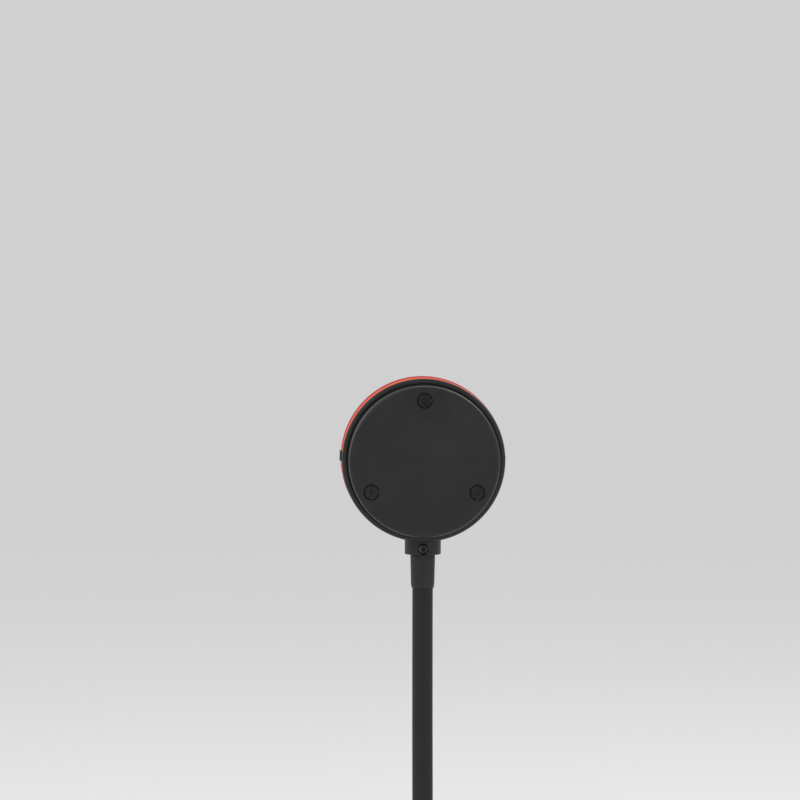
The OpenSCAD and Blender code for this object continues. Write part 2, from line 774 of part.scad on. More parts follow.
// Socket frame: +Z out of the base through its rear wall, +Y up, with the origin at the back of the socket
module on_socket() translate([0, socket_front - socket_l, board_top + socket_h / 2]) rotate([90, 0, 180]) children();

module stadium(w, h) {
    translate([-(w - h) / 2, -h / 2]) square([w - h, h]);
    for (side = [-1, 1]) translate([side * (w - h) / 2, 0]) circle(d = h);
}

module power_socket() color(steel) on_socket() {
    difference() {
        linear_extrude(socket_l) stadium(socket_w, socket_h);
        translate([0, 0, socket_floor_t]) linear_extrude(socket_l)
            stadium(socket_w - 2 * socket_wall, socket_h - 2 * socket_wall);
    }
    translate([-tongue_w / 2, -tongue_t / 2, socket_floor_t - eps]) cube([tongue_w, tongue_t, tongue_l]);
}

module switch() color("#242427") translate([0, button_y, board_top]) {
    translate([-switch_side / 2, -switch_side / 2, 0]) cube([switch_side, switch_side, switch_h]);
    rod(plunger_r, switch_h - eps, switch_h + plunger_h);
}

// The button rests with its rim under the cover, and its stem stops just over the switch's plunger when pressed
module button() color(soft_black) translate([0, button_y, 0]) {
    rim_top = top_under - stop_gap;
    translate([0, 0, rim_top - eps]) rounded_disc(button_r, button_top - rim_top + eps, button_edge);
    rod(button_r + button_rim, rim_top - button_rim_t, rim_top);
    rod(stem_r, plunger_top + button_travel + stop_gap, rim_top - button_rim_t + eps);
}

housing();
heat_sink();
sink_screws();
thermal_pad();
led_board();
led_screws();
led_emitter();
baffle();
filter_gasket();
color_filter();
lens();
lens_clips();
clip_screws();
collar();
collar_screw();
upper_ferrule();
upper_boot();
for (i = [0 : hinges]) {
    neck_sleeve(i);
    neck_hose(i);
}
lead_red();
lead_black();
lower_boot();
lower_ferrule();
neck_washer();
neck_nut();
base_cover();
ballast();
base_plate();
base_screws();
foot_pad();
control_board();
board_screws();
board_parts();
power_socket();
switch();
button();
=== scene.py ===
"""Sunset projection lamp: a lens head on a flexible neck over a weighted round base.

Lengths are in millimetres until point() turns them into metres. In the head's own frame +Z is forward out
of the lens and +Y is up, with the origin on the head's axis at the barrel's rear rim."""

import json
import math

import bmesh
import bpy
from mathutils import Matrix, Quaternion, Vector


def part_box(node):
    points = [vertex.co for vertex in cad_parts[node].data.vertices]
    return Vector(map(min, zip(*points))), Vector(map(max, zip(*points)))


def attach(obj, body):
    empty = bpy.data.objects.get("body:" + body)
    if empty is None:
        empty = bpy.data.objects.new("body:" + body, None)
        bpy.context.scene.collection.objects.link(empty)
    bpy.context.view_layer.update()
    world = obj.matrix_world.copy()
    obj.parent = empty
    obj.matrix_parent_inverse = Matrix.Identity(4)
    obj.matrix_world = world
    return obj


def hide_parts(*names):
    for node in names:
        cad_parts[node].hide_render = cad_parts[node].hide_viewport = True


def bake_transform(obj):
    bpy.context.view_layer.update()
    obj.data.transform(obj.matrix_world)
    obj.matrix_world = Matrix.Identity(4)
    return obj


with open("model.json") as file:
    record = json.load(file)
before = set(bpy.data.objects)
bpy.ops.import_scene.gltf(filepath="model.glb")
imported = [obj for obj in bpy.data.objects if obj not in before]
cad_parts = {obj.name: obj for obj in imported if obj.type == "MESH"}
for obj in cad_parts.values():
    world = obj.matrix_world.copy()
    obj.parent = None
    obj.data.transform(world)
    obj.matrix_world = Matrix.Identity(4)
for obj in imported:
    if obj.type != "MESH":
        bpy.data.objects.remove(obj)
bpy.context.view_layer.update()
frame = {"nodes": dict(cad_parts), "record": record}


# --- Sizes and places ---

MM = 0.001


def point(v):
    return Vector(v) * MM


def extent(node):
    """The node's lowest and highest corners."""
    return tuple(Vector(corner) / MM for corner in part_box(node))


def upright_span(node):
    """A node's radius round its own upright axis, and its lowest and highest level."""
    low, high = extent(node)
    return (high.x - low.x) / 2, low.z, high.z


def head_span(node):
    """A node's radius round the head's axis, and how far forward of the rear rim it starts and ends."""
    low, high = extent(node)
    return (high.x - low.x) / 2, HEAD_Y - high.y, HEAD_Y - low.y


def turned(degrees, axis):
    return Matrix.Rotation(math.radians(degrees), 4, axis)


def moved(base, x=0.0, y=0.0, z=0.0):
    return base @ Matrix.Translation(point((x, y, z)))


FIT = 0.1

RIM_ROUND = 1
HEAD_Y = extent("housing")[1].y - RIM_ROUND
HEAD_Z = sum(corner.z for corner in extent("housing")) / 2
HEAD_R, _, BARREL_L = head_span("housing")
BARREL_FRONT_R = 24.4
BARREL_BORE = 20.8
SINK_SCREW_CIRCLE = 18.6
FILTER_R = 22.1

LENS_R, LENS_BACK, LENS_TIP = head_span("lens")
DOME_H = 7
LENS_LAND = 1.7
LENS_FRONT = LENS_TIP - DOME_H

CLIP_W = 3
CLIP_T = 0.3
CLIP_SEAT = BARREL_FRONT_R - 0.5
CLIP_FOOT = 4
CLIP_TURN = 1.8

COLLAR_R, COLLAR_BOTTOM, COLLAR_TOP = upright_span("collar")
NECK_Y = sum(corner.y for corner in extent("collar")) / 2
NECK_R = upright_span("upper_ferrule")[0]
SLEEVE_WALL = 0.7
HOSE_R = NECK_R - SLEEVE_WALL - FIT / 2
HOSE_BORE = HOSE_R - 0.8
HALF_LINK = 8.5
LEAD_R = 0.45
LEAD_SIDE = 0.55
BOOT_BORE = NECK_R + FIT / 2
BOOT_R = upright_span("upper_boot")[0]
BOOT_TIP_R = BOOT_R - 0.2

BASE_R, SKIRT, BASE_TOP = upright_span("base_cover")
BASE_WALL = 2
BASE_EDGE_R = 4
CEILING = BASE_TOP - 2.2
SHANK_R = 4
BUTTON_R = 4.75
BUTTON_Y = sum(corner.y for corner in extent("button")) / 2
SOCKET_BACK, SOCKET_MOUTH = extent("power_socket")
SOCKET_Z = (SOCKET_BACK.z + SOCKET_MOUTH.z) / 2
SOCKET_W = 8.9
SOCKET_H = 3.2
SOCKET_L = 7.3

ON_AXIS = Matrix.Identity(4)
ON_HEAD = moved(ON_AXIS, 0, HEAD_Y, HEAD_Z) @ turned(90, "X")
ON_NECK_TOP = moved(ON_AXIS, 0, NECK_Y)
ON_BUTTON = moved(ON_AXIS, 0, BUTTON_Y)
# The power socket's closed end, with +Z out of its mouth
ON_SOCKET = moved(ON_AXIS, 0, SOCKET_BACK.y, SOCKET_Z) @ turned(90, "X") @ turned(180, "Y")
# The head's frame turned to each of the two clips, with +X out through the clip
CLIP_SIDES = [ON_HEAD @ turned(CLIP_TURN + half * 180, "Z") for half in (0, 1)]
# Stands a flat outline of (out, forward) up in the plane of the head's axis
STAND = turned(90, "X")

# The photograph's view: the head's middle and scale in it, and the camera's distance and angles
FRAME_PX = 800
HEAD_PX = (423.68, 460.4)
PX_PER_MM = 3.272
LOOK_FROM = 1500
FOCAL_PX = PX_PER_MM * LOOK_FROM
LOOK_SIDE = math.radians(1.6)
LOOK_UP = math.radians(2.9)
LOOK_ROLL = math.radians(0.25)

# The colour of the light from all round, and of the background behind the object
AMBIENT = (0.80, 0.80, 0.81, 1)
BACKDROP = (0.635, 0.635, 0.64, 1)


# --- Camera, floor and light ---

def make_camera():
    data = bpy.data.cameras.new("camera")
    data.lens = FOCAL_PX / FRAME_PX * data.sensor_width
    camera = bpy.data.objects.new("camera", data)
    bpy.context.scene.collection.objects.link(camera)
    level = math.cos(LOOK_UP)
    away = Vector((math.sin(LOOK_SIDE) * level, math.cos(LOOK_SIDE) * level, math.sin(LOOK_UP)))
    camera.location = point(Vector((0, HEAD_Y, HEAD_Z)) + away * LOOK_FROM)
    middle = FRAME_PX / 2
    seen_at = Vector((HEAD_PX[0] - middle, middle - HEAD_PX[1], -FOCAL_PX)).normalized()
    straight = (-away).to_track_quat("-Z", "Y")
    camera.rotation_mode = "QUATERNION"
    camera.rotation_quaternion = (straight @ Quaternion((0, 0, 1), LOOK_ROLL)
                                  @ seen_at.rotation_difference(Vector((0, 0, -1))))
    bpy.context.scene.camera = camera


def make_world():
    """Plain light from all round. The background that camera, gloss and glass see matches the far floor."""
    world = bpy.data.worlds.new("studio")
    world.use_nodes = True
    bpy.context.scene.world = world
    tree = world.node_tree
    rays = tree.nodes.new("ShaderNodeLightPath")
    seen = rays.outputs["Is Camera Ray"]
    for kind in ("Is Glossy Ray", "Is Transmission Ray"):
        both = tree.nodes.new("ShaderNodeMath")
        both.operation = "ADD"
        both.use_clamp = True
        tree.links.new(seen, both.inputs[0])
        tree.links.new(rays.outputs[kind], both.inputs[1])
        seen = both.outputs[0]
    mix = tree.nodes.new("ShaderNodeMix")
    mix.data_type = "RGBA"
    tree.links.new(seen, mix.inputs[0])
    mix.inputs[6].default_value = AMBIENT
    mix.inputs[7].default_value = BACKDROP
    tree.links.new(mix.outputs[2], tree.nodes["Background"].inputs["Color"])


def make_floor():
    reach = 60
    ground = bmesh.new()
    bmesh.ops.create_grid(ground, x_segments=1, y_segments=1, size=reach)
    data = bpy.data.meshes.new("floor")
    ground.to_mesh(data)
    ground.free()
    floor = bpy.data.objects.new("floor", data)
    bpy.context.scene.collection.objects.link(floor)
    shader = Shader("floor_paper", (0.79, 0.79, 0.785), 0.9, Specular_IOR_Level=0.1)
    shader.color_between(shader.noise(60, 4), (0.78, 0.78, 0.775), (0.8, 0.8, 0.795))
    data.materials.append(shader.material)


def area_light(name, place, target, size, watts):
    data = bpy.data.lights.new(name, "AREA")
    data.shape = "DISK"
    data.size = size
    data.energy = watts
    light = bpy.data.objects.new(name, data)
    light.location = place
    light.rotation_euler = (Vector(target) - Vector(place)).to_track_quat("-Z", "Y").to_euler()
    bpy.context.scene.collection.objects.link(light)


def make_lamps():
    """Four soft lamps, placed in metres."""
    neck = (0, 0, 0.14)
    head = (0, -0.02, 0.2)
    area_light("key", (-0.9, -0.8, 1.3), neck, 0.8, 6)
    area_light("fill", (1.1, -0.5, 0.8), neck, 1.0, 3)
    area_light("rear_left", (0.8, 1.1, 1.0), head, 0.5, 3)
    area_light("rear_right", (-1.0, 0.9, 0.6), head, 0.7, 2)


# --- Materials ---

class Shader:
    """A principled material, and the nodes that vary it."""

    def __init__(self, name, color, rough, metal=0.0, **fixed):
        self.material = bpy.data.materials.new(name)
        self.material.use_nodes = True
        self.tree = self.material.node_tree
        self.surface = self.tree.nodes["Principled BSDF"]
        self.put("Base Color", (*color, 1))
        self.put("Roughness", rough)
        self.put("Metallic", metal)
        for key, value in fixed.items():
            self.put(key.replace("_", " "), value)
        self.material.diffuse_color = (*color, 1)

    def put(self, key, value):
        self.feed(self.surface.inputs[key], value)

    def feed(self, socket, value):
        if isinstance(value, bpy.types.NodeSocket):
            self.tree.links.new(value, socket)
        else:
            socket.default_value = value

    def node(self, kind, inputs=(), output=0, **settings):
        node = self.tree.nodes.new(kind)
        for key, value in settings.items():
            setattr(node, key, value)
        for key, value in dict(inputs).items():
            self.feed(node.inputs[key], value)
        return node.outputs[output]

    def coords(self):
        return self.node("ShaderNodeTexCoord", output="Object")

    def place_on(self, axis):
        """The place on the piece's own X, Y or Z axis, given as 0, 1 or 2."""
        return self.node("ShaderNodeSeparateXYZ", {0: self.coords()}, output=axis)

    def math(self, operation, a, b=0.0):
        return self.node("ShaderNodeMath", {0: a, 1: b}, operation=operation)

    def radius(self):
        """The distance from the piece's own Z axis."""
        squares = [self.math("MULTIPLY", side, side) for side in (self.place_on(0), self.place_on(1))]
        return self.math("SQRT", self.math("ADD", *squares))

    def around_axis(self, stretch=1.0):
        """Coordinates that change with distance from the local Z axis and along it, but not around it."""
        height = self.math("MULTIPLY", self.place_on(2), stretch)
        return self.node("ShaderNodeCombineXYZ", {0: self.radius(), 2: height})

    def noise(self, scale, detail=3.0, rough=0.55, distortion=0.0, where=None):
        where = self.coords() if where is None else where
        return self.node("ShaderNodeTexNoise", {
            "Vector": where, "Scale": scale, "Detail": detail, "Roughness": rough, "Distortion": distortion})

    def cells(self, scale, smooth):
        return self.node("ShaderNodeTexVoronoi", {
            "Vector": self.coords(), "Scale": scale, "Smoothness": smooth}, feature="SMOOTH_F1")

    def span(self, value, low, high, to_low=0.0, to_high=1.0):
        return self.node("ShaderNodeMapRange", {0: value, 1: low, 2: high, 3: to_low, 4: to_high})

    def mix(self, share, a, b):
        a, b = (c if isinstance(c, bpy.types.NodeSocket) else (*c, 1) for c in (a, b))
        return self.node("ShaderNodeMix", {0: share, 6: a, 7: b}, output=2, data_type="RGBA")

    def color_between(self, share, a, b):
        self.put("Base Color", self.mix(share, a, b))

    def bumps(self, *layers):
        """Bump layers, each (height socket, height in millimetres)."""
        normal = None
        for height, size in layers:
            inputs = {"Height": height, "Distance": size * MM, "Strength": 1.0}
            if normal:
                inputs["Normal"] = normal
            normal = self.node("ShaderNodeBump", inputs)
        self.put("Normal", normal)


def turned_metal():
    """Black anodised aluminium with the fine rings of the lathe, a little lighter where it is handled."""
    s = Shader("black_anodised_turned", (0.009, 0.009, 0.0095), 0.36, Specular_IOR_Level=0.4,
               Anisotropic=0.6)
    s.put("Tangent", s.node("ShaderNodeTangent", direction_type="RADIAL", axis="Z"))
    rings = s.noise(5200, 2, 0.7, where=s.around_axis())
    broad = s.noise(900, 3, where=s.around_axis(0.6))
    handled = s.noise(55, 5, 0.6, 0.4)
    fine = s.noise(2600, 2)
    tone = s.mix(s.span(handled, 0.35, 0.7), (0.007, 0.007, 0.0075), (0.0125, 0.0123, 0.013))
    rubbed = s.span(rings, 0.58, 0.75, 0.0, 0.5)
    s.put("Base Color", s.mix(rubbed, tone, (0.022, 0.0215, 0.022)))
    dull = s.span(handled, 0.3, 0.7, 0.3, 0.44)
    s.put("Roughness", s.math("ADD", dull, s.span(rings, 0.3, 0.7, -0.03, 0.05)))
    s.bumps((rings, 0.012), (broad, 0.01), (fine, 0.004))
    return s.material


def powder_coat():
    """The base's finish: a fine orange peel, with scuffs along its bottom rim."""
    s = Shader("black_powder_coat", (0.009, 0.009, 0.0095), 0.55, Specular_IOR_Level=0.25)
    orange_peel = s.cells(950, 0.8)
    grit = s.noise(5200, 3)
    dust = s.noise(38, 6, 0.62)
    tone = s.mix(s.span(dust, 0.42, 0.72), (0.0085, 0.0085, 0.009), (0.0115, 0.0113, 0.011))
    rim = s.span(s.place_on(2), (SKIRT + 1.6) * MM, SKIRT * MM)
    worn = s.math("MULTIPLY", rim, s.span(s.noise(320, 4), 0.52, 0.66))
    s.put("Base Color", s.mix(worn, tone, (0.03, 0.0295, 0.029)))
    s.put("Roughness", s.span(dust, 0.3, 0.75, 0.53, 0.59))
    s.bumps((orange_peel, 0.065), (grit, 0.012))
    return s.material


def silicone():
    s = Shader("matte_black_silicone", (0.012, 0.012, 0.0125), 0.7, Specular_IOR_Level=0.35,
               Sheen_Weight=0.05, Sheen_Roughness=0.4)
    skin = s.noise(4200, 3)
    lint = s.span(s.noise(900, 6, 0.7), 0.64, 0.74)
    patches = s.noise(90, 4)
    tone = s.mix(s.span(patches, 0.3, 0.7), (0.0095, 0.0095, 0.01), (0.0145, 0.0142, 0.014))
    s.put("Base Color", s.mix(s.math("MULTIPLY", lint, 0.3), tone, (0.06, 0.058, 0.055)))
    s.put("Roughness", s.span(patches, 0.3, 0.7, 0.62, 0.78))
    s.bumps((skin, 0.01), (patches, 0.03))
    return s.material


def moulded_rubber(name="moulded_rubber", tone=(0.012, 0.012, 0.0125), grain=3000):
    s = Shader(name, tone, 0.6, Specular_IOR_Level=0.4)
    spark = s.noise(grain, 4, 0.65)
    bloom = s.noise(120, 5, 0.6)
    s.color_between(s.span(bloom, 0.4, 0.75), tone, tuple(c * 1.6 for c in tone))
    s.put("Roughness", s.span(bloom, 0.3, 0.75, 0.52, 0.72))
    s.bumps((spark, 0.02), (bloom, 0.02))
    return s.material


def moulded_plastic(name, tone, rough, grain=2600, depth=0.018):
    s = Shader(name, tone, rough)
    spark = s.noise(grain, 3, 0.6)
    rubbed = s.noise(150, 4)
    s.color_between(s.span(rubbed, 0.35, 0.75), tone, tuple(c * 1.35 + 0.002 for c in tone))
    s.put("Roughness", s.span(rubbed, 0.3, 0.7, rough - 0.06, rough + 0.08))
    s.bumps((spark, depth))
    return s.material


def steel(name, tone, rough, around=True, rust=None, wear=None):
    """Drawn or turned steel. Where they have a colour, rust lies in patches and wear along the edges."""
    s = Shader(name, tone, rough, 1.0)
    lines = s.noise(6200, 3, 0.7, where=s.around_axis() if around else None)
    film = s.noise(240, 5, 0.6)
    darker = tuple(c * 0.8 for c in tone)
    lighter = tuple(min(c * 1.12, 1) for c in tone)
    color = s.mix(s.span(film, 0.35, 0.7), darker, lighter)
    if rust:
        color = s.mix(s.span(s.noise(700, 6), 0.62, 0.78, 0, 0.5), color, rust)
    if wear:
        edges = s.span(s.node("ShaderNodeNewGeometry", output="Pointiness"), 0.53, 0.6)
        color = s.mix(s.math("MULTIPLY", edges, s.span(film, 0.35, 0.6)), color, wear)
    s.put("Base Color", color)
    dull = s.span(film, 0.3, 0.7, rough - 0.08, rough + 0.1)
    s.put("Roughness", s.math("ADD", dull, s.span(lines, 0.3, 0.7, -0.03, 0.04)))
    s.bumps((lines, 0.008))
    return s.material


def clear_glass():
    s = Shader("lens_clear", (1.0, 0.985, 0.975), 0.0, IOR=1.49, Transmission_Weight=1.0)
    smear = s.noise(70, 6, 0.65, 0.8)
    s.put("Roughness", s.span(smear, 0.52, 0.8, 0.0, 0.035))
    s.bumps((s.noise(45, 2), 0.012))
    return s.material


def frosted_rim_painted_glow():
    """The lens's ground edge, with a painted glow for light from inside: salmon on its back, dark red round
    its side.
    """
    s = Shader("lens_ground_edge_painted_glow", (0.03, 0.006, 0.006), 0.6, Specular_IOR_Level=0.05)
    ground = s.noise(3000, 3, 0.7, where=s.around_axis())
    pits = s.noise(3600, 3)
    patches = s.noise(130, 4)
    forward = s.place_on(2)
    back, side, front = (place * MM for place in (LENS_BACK + 0.1, LENS_BACK + 0.3, LENS_FRONT))
    # Painted glow: the edge's emission stands in for light. It is salmon on the back ring and dark red on
    # the side and front, with lighter patches.
    glow = s.mix(s.span(forward, back, side), (0.8, 0.15, 0.09), (0.32, 0.02, 0.03))
    glow = s.mix(s.span(forward, side, front), glow, (0.36, 0.02, 0.03))
    glow = s.mix(s.span(patches, 0.3, 0.75, 0.0, 0.15), glow, (0.6, 0.09, 0.06))
    s.put("Emission Color", glow)
    s.put("Emission Strength", 1.0)
    s.color_between(s.span(ground, 0.3, 0.7), (0.025, 0.005, 0.005), (0.04, 0.01, 0.009))
    s.put("Roughness", s.span(ground, 0.3, 0.7, 0.5, 0.7))
    s.bumps((ground, 0.012), (pits, 0.01))
    return s.material


def sunset_filter():
    """A coated colour filter with a painted glow for the light behind it: rose in the middle, then orange,
    and yellow at its edge.
    """
    s = Shader("sunset_filter", (0.05, 0.012, 0.008), 0.12, Coat_Weight=0.6, Coat_Roughness=0.04)
    waver = s.span(s.noise(120, 3), 0.3, 0.7, -0.6 * MM, 0.6 * MM)
    share = s.span(s.math("ADD", s.radius(), waver), 0.0, FILTER_R * MM)
    stops = [
        (0.0, (1.0, 0.62, 0.58)),
        (0.1, (1.0, 0.3, 0.36)),
        (0.3, (0.95, 0.13, 0.2)),
        (0.5, (0.93, 0.16, 0.06)),
        (0.72, (0.9, 0.33, 0.02)),
        (0.92, (0.8, 0.45, 0.01)),
        (1.0, (0.4, 0.2, 0.01)),
    ]
    ramp = s.tree.nodes.new("ShaderNodeValToRGB")
    s.tree.links.new(share, ramp.inputs[0])
    band = ramp.color_ramp
    band.interpolation = "EASE"
    while len(band.elements) < len(stops):
        band.elements.new(0.5)
    for element, (at, color) in zip(band.elements, stops):
        element.position = at
        element.color = (*color, 1)
    # Painted glow: the filter's colours go into its emission and stand in for the emitter's light shining
    # through it.
    s.put("Emission Color", ramp.outputs[0])
    s.put("Emission Strength", 1.0)
    s.bumps((s.noise(160, 2), 0.01))
    return s.material


def phosphor():
    s = Shader("phosphor_dome", (0.95, 0.72, 0.2), 0.3, Coat_Weight=0.5)
    grains = s.cells(6000, 0.4)
    s.color_between(grains, (0.85, 0.6, 0.12), (1.0, 0.82, 0.3))
    s.put("Emission Color", s.mix(grains, (1.0, 0.8, 0.55), (1.0, 0.88, 0.7)))
    s.put("Emission Strength", 2.0)
    s.bumps((grains, 0.01))
    return s.material


def laminate(name, tone, trace):
    """A circuit board's mask over a glass weave, lighter where copper lies under it."""
    s = Shader(name, tone, 0.35, Coat_Weight=0.3)
    weave = s.node("ShaderNodeTexBrick", {
        "Vector": s.coords(), "Scale": 900.0, "Mortar Size": 0.18, "Color1": (0, 0, 0, 1),
        "Color2": (0.2, 0.2, 0.2, 1), "Mortar": (1, 1, 1, 1)}, output=1)
    pours = s.span(s.noise(300, 1), 0.49, 0.51)
    s.color_between(pours, tone, trace)
    s.put("Roughness", s.span(weave, 0, 1, 0.3, 0.42))
    s.bumps((pours, 0.03), (weave, 0.004))
    return s.material


MATERIALS = {
    "head_metal": turned_metal(),
    "base_coat": powder_coat(),
    "sleeve": silicone(),
    "boot": moulded_rubber(),
    "hose_steel": steel("wound_steel", (0.5, 0.51, 0.53), 0.32, around=False),
    "fastener": steel("black_oxide", (0.035, 0.035, 0.038), 0.38, wear=(0.3, 0.3, 0.31)),
    "plain_steel": steel("zinc_plated", (0.6, 0.61, 0.63), 0.3),
    "clip_steel": steel("blackened_spring_steel", (0.022, 0.022, 0.024), 0.42, around=False,
                        wear=(0.22, 0.22, 0.23)),
    "iron": steel("rough_iron", (0.1, 0.1, 0.105), 0.7, around=False, rust=(0.09, 0.035, 0.015)),
    "lens_glass": clear_glass(),
    "lens_edge_painted_glow": frosted_rim_painted_glow(),
    "filter_glass": sunset_filter(),
    "baffle_plastic": moulded_plastic("baffle_black", (0.009, 0.009, 0.009), 0.75, 1800, 0.03),
    "gasket_rubber": moulded_rubber("gasket_rubber", (0.02, 0.02, 0.02), 2200),
    "led_laminate": laminate("white_solder_mask", (0.82, 0.82, 0.8), (0.88, 0.88, 0.86)),
    "phosphor": phosphor(),
    "thermal": moulded_rubber("thermal_pad", (0.4, 0.45, 0.48), 1500),
    "lead_insulation_red": moulded_plastic("lead_red_vinyl", (0.5, 0.015, 0.015), 0.35, 1800, 0.006),
    "lead_insulation_black": moulded_plastic("lead_black_vinyl", (0.018, 0.018, 0.018), 0.35, 1800, 0.006),
    "laminate": laminate("green_solder_mask", (0.008, 0.11, 0.055), (0.014, 0.16, 0.08)),
    "chip_plastic": moulded_plastic("chip_black", (0.025, 0.025, 0.027), 0.55, 5000, 0.006),
    "button_plastic": moulded_plastic("button_black", (0.016, 0.016, 0.017), 0.46),
    "foot_rubber": moulded_rubber("foot_rubber", (0.022, 0.022, 0.022), 1800),
    "contacts": steel("gilt_contacts", (0.85, 0.6, 0.2), 0.25, around=False),
}


# --- Shapes ---

def rounded(points, closed=False):
    """The outline with an arc of radius r at each corner given as (x, y, r)."""
    shared_room = 0.49
    whole_room = 0.98
    step = math.radians(15)
    out = []
    count = len(points)
    for i, corner in enumerate(points):
        at = Vector(corner[:2])
        r = corner[2] if len(corner) > 2 else 0
        if not r or (not closed and i in (0, count - 1)):
            out.append(at)
            continue
        last, following = points[i - 1], points[(i + 1) % count]
        to_last, to_next = Vector(last[:2]) - at, Vector(following[:2]) - at
        a, b = to_last.normalized(), to_next.normalized()
        half = a.angle(b) / 2
        reach = r / math.tan(half)
        for way, other in ((to_last, last), (to_next, following)):
            reach = min(reach, way.length * (shared_room if len(other) > 2 else whole_room))
        radius = reach * math.tan(half)
        middle = at + (a + b).normalized() * (radius / math.sin(half))
        start, end = at + a * reach - middle, at + b * reach - middle
        turn = start.angle_signed(end)
        steps = max(3, math.ceil(abs(turn) / step))
        for k in range(steps + 1):
            c, s = math.cos(-turn * k / steps), math.sin(-turn * k / steps)
            out.append(middle + Vector((start.x * c - start.y * s, start.x * s + start.y * c)))
    return out


def arc(x, y, r, angles):
    """Points of an arc round (x, y), at angles in degrees from straight up towards +x."""
    return [(x + r * math.sin(a), y + r * math.cos(a)) for a in map(math.radians, angles)]


def mesh(name, verts, faces, place=ON_AXIS, sharp=32):
    """A new object from millimetre vertices, shaded smooth between its sharp edges."""
    data = bpy.data.meshes.new(name)
    data.from_pydata([point(v) for v in verts], [], faces)
    obj = bpy.data.objects.new(name, data)
    bpy.context.scene.collection.objects.link(obj)
    obj.matrix_world = place
    return finished(obj, sharp)


def finished(obj, sharp=32):
    """The object with doubled points merged, its faces turned outward and its sharp edges marked."""
    work = bmesh.new()
    work.from_mesh(obj.data)
    bmesh.ops.remove_doubles(work, verts=work.verts, dist=1e-7)
    bmesh.ops.recalc_face_normals(work, faces=work.faces)
    work.to_mesh(obj.data)
    work.free()
    for face in obj.data.polygons:
        face.use_smooth = True
    obj.data.set_sharp_from_angle(angle=math.radians(sharp))
    return obj


def lathe(name, outline, place=ON_AXIS, closed=False, seg=128, sharp=32):
    """The outline of (distance from axis, height) turned round the local Z axis."""
    turns = [2 * math.pi * k / seg for k in range(seg)]
    verts, rings = [], []
    for p in rounded(outline, closed):
        if p.x < 1e-6:
            rings.append([len(verts)])
            verts.append((0, 0, p.y))
        else:
            rings.append([len(verts) + k for k in range(seg)])
            verts += [(p.x * math.cos(a), p.x * math.sin(a), p.y) for a in turns]
    faces = []
    pairs = list(zip(rings, rings[1:])) + ([(rings[-1], rings[0])] if closed else [])
    for a, b in pairs:
        for k in range(seg):
            n = (k + 1) % seg
            if len(a) == 1:
                faces.append((a[0], b[k], b[n]))
            elif len(b) == 1:
                faces.append((a[k], b[0], a[n]))
            else:
                faces.append((a[k], b[k], b[n], a[n]))
    return mesh(name, verts, faces, place, sharp)


def prism(name, outline, start, end, place=ON_AXIS, edge=0.0):
    """The closed outline pushed along local Z from start to end, with its edges bevelled."""
    points = rounded(outline, closed=True)
    count = len(points)
    verts = [(p.x, p.y, z) for z in (start, end) for p in points]
    faces = [tuple(range(count)), tuple(range(count, 2 * count))]
    faces += [(k, (k + 1) % count, count + (k + 1) % count, count + k) for k in range(count)]
    obj = mesh(name, verts, faces, place)
    return bevelled(obj, edge) if edge else obj


def applied(obj):
    """The object with its modifiers made part of its mesh."""
    view = bpy.context.evaluated_depsgraph_get()
    view.update()
    data = bpy.data.meshes.new_from_object(obj.evaluated_get(view))
    obj.modifiers.clear()
    old = obj.data
    obj.data = data
    bpy.data.meshes.remove(old)
    return obj


def bevelled(obj, width):
    change = obj.modifiers.new("edge", "BEVEL")
    change.width = width * MM
    change.segments = 3
    change.limit_method = "ANGLE"
    change.angle_limit = math.radians(40)
    return finished(applied(obj))


def discard(obj):
    data = obj.data
    bpy.data.objects.remove(obj)
    bpy.data.meshes.remove(data)


def cut(obj, *cutters):
    """The object with the cutters taken out of it."""
    for cutter in cutters:
        change = obj.modifiers.new("cut", "BOOLEAN")
        change.operation = "DIFFERENCE"
        change.solver = "EXACT"
        change.object = cutter
    applied(obj)
    for cutter in cutters:
        discard(cutter)
    return finished(obj)


def joined(name, *parts):
    """One mesh of several, in the first one's place."""
    first = parts[0]
    work = bmesh.new()
    for piece in parts:
        data = piece.data.copy()
        data.transform(first.matrix_world.inverted() @ piece.matrix_world)
        work.from_mesh(data)
        bpy.data.meshes.remove(data)
    work.to_mesh(first.data)
    work.free()
    for piece in parts[1:]:
        discard(piece)
    first.name = name
    return finished(first)


def rod(name, r, start, end, place, seg=64):
    return lathe(name, [(0, start), (r, start), (r, end), (0, end)], place, seg=seg)


def hexagon(r):
    return [(r * math.cos(a), r * math.sin(a)) for a in map(math.radians, range(0, 360, 60))]


def rectangle(half_w, half_h, x=0.0, y=0.0, r=0.0):
    return [(x + i * half_w, y + j * half_h, r) for i, j in ((-1, -1), (1, -1), (1, 1), (-1, 1))]


def stadium(w, h):
    """A w by h outline with half-round ends."""
    steps = 12
    out = []
    for side, start in ((1, -90), (-1, 90)):
        for k in range(steps + 1):
            a = math.radians(start + 180 * k / steps)
            out.append((side * (w - h) / 2 + h / 2 * math.cos(a), h / 2 * math.sin(a)))
    return out


def hex_socket(r, top, depth, place):
    """Cutters for a hex socket with a chamfered mouth, sunk down from top along local Z."""
    floor, chamfer_r, mouth_r = top - 0.18 * r, 0.86 * r, 1.12 * r
    shaft = prism("socket", hexagon(r), top - depth, top + 1, place)
    mouth = lathe("socket_mouth", [(0, floor), (chamfer_r, floor), (mouth_r, top + 0.01), (mouth_r, top + 1),
                                   (0, top + 1)], place, seg=48)
    return shaft, mouth


def part(obj, body, slot, *nodes):
    """Puts a piece on its body in the CAD nodes' place, in its slot's material unless it has its own."""
    if not obj.data.materials:
        obj.data.materials.append(MATERIALS[slot])
    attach(obj, body)
    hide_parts(*nodes)


# --- Head ---

